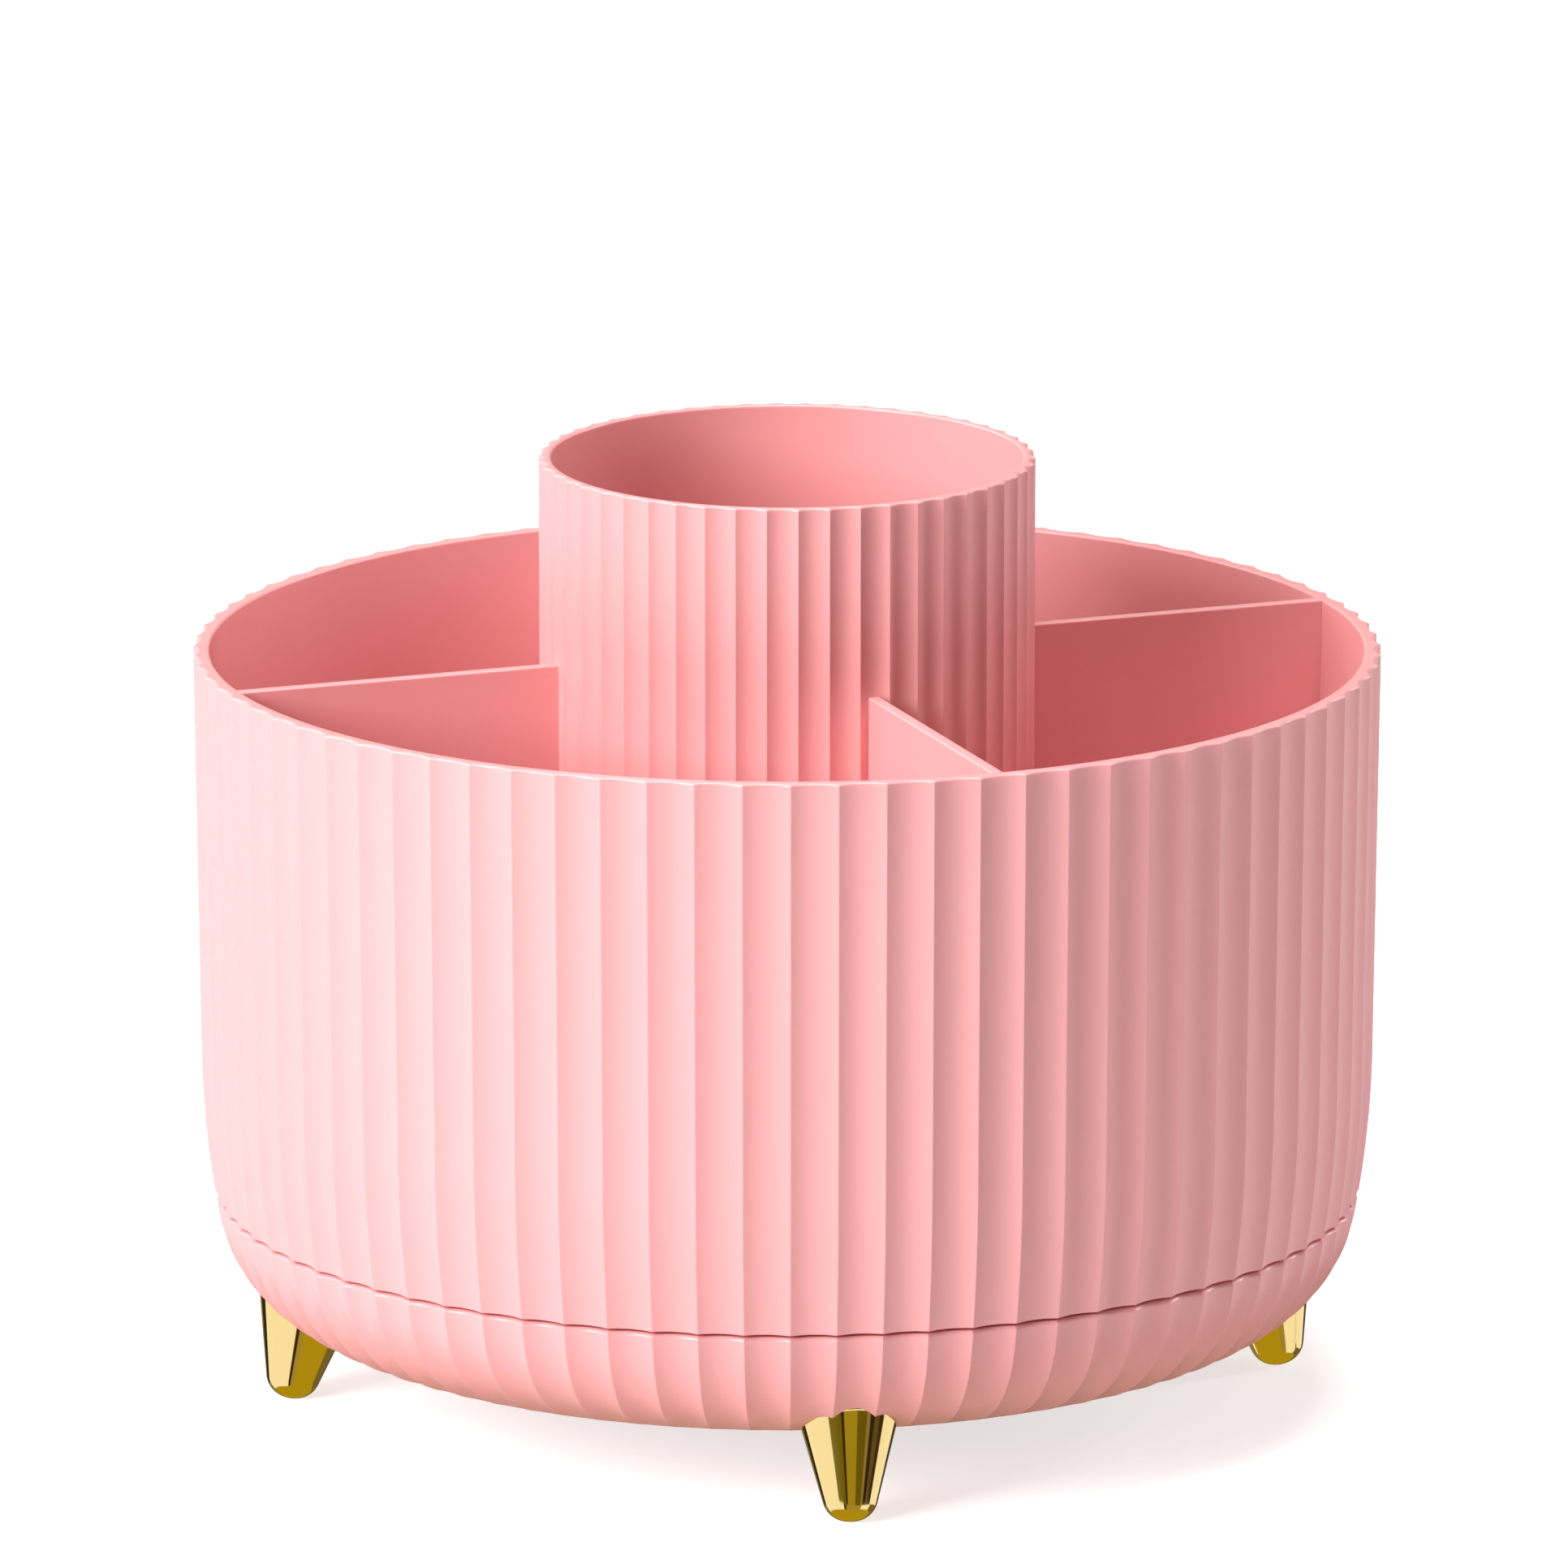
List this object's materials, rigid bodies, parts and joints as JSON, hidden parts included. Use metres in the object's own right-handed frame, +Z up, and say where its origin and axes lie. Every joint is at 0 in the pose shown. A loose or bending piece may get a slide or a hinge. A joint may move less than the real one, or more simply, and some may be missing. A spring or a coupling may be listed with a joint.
{
  "type": "rotating makeup brush holder",
  "caption": "Round desktop holder: a fluted drum with a tall centre cup and radial dividers turns on a ball bearing above a fluted dish on splayed feet.",
  "frame": {"origin": "on the turning axis, at the table surface that the feet stand on", "axes": "+Z up along the turning axis; the dividers lie along X and Y with the drum at rest"},
  "size_m": [0.1748, 0.1748, 0.141],
  "materials": {
    "pink_plastic": "satin moulded",
    "gold_plating": "polished plating on plastic",
    "zinc_steel": "bright zinc",
    "white_acetal": "moulded",
    "polished_steel": "polished"
  },
  "bodies": {
    "base": {"base_dish": "pink_plastic", "foot_right": "gold_plating", "foot_back": "gold_plating", "foot_left": "gold_plating", "foot_front": "gold_plating", "foot_screws": "zinc_steel", "lower_race": "white_acetal", "lower_race_screws": "zinc_steel", "pivot_bush": "white_acetal"},
    "drum": {"drum": "pink_plastic", "centre_cup": "pink_plastic", "divider_back_right": "pink_plastic", "divider_back_left": "pink_plastic", "divider_front_left": "pink_plastic", "divider_front_right": "pink_plastic", "cup_screws": "zinc_steel", "upper_race": "white_acetal", "upper_race_screws": "zinc_steel", "spindle": "zinc_steel", "spindle_screws": "zinc_steel", "retaining_washer": "zinc_steel", "centre_screw": "zinc_steel"},
    "bearing_cage": {"ball_cage": "white_acetal", "bearing_balls": "polished_steel"}
  },
  "joints": [
    {"name": "drum_spin", "type": "hinge", "parent": "base", "child": "drum", "pos_m": [0, 0, 0.0225], "axis": [0, 0, 1], "continuous": true},
    {"name": "cage_spin", "type": "hinge", "parent": "base", "child": "bearing_cage", "pos_m": [0, 0, 0.0225], "axis": [0, 0, 1], "continuous": true}
  ],
  "couplings": [
    {"joint": "cage_spin", "follows": "drum_spin", "ratio": 0.5}
  ]
}
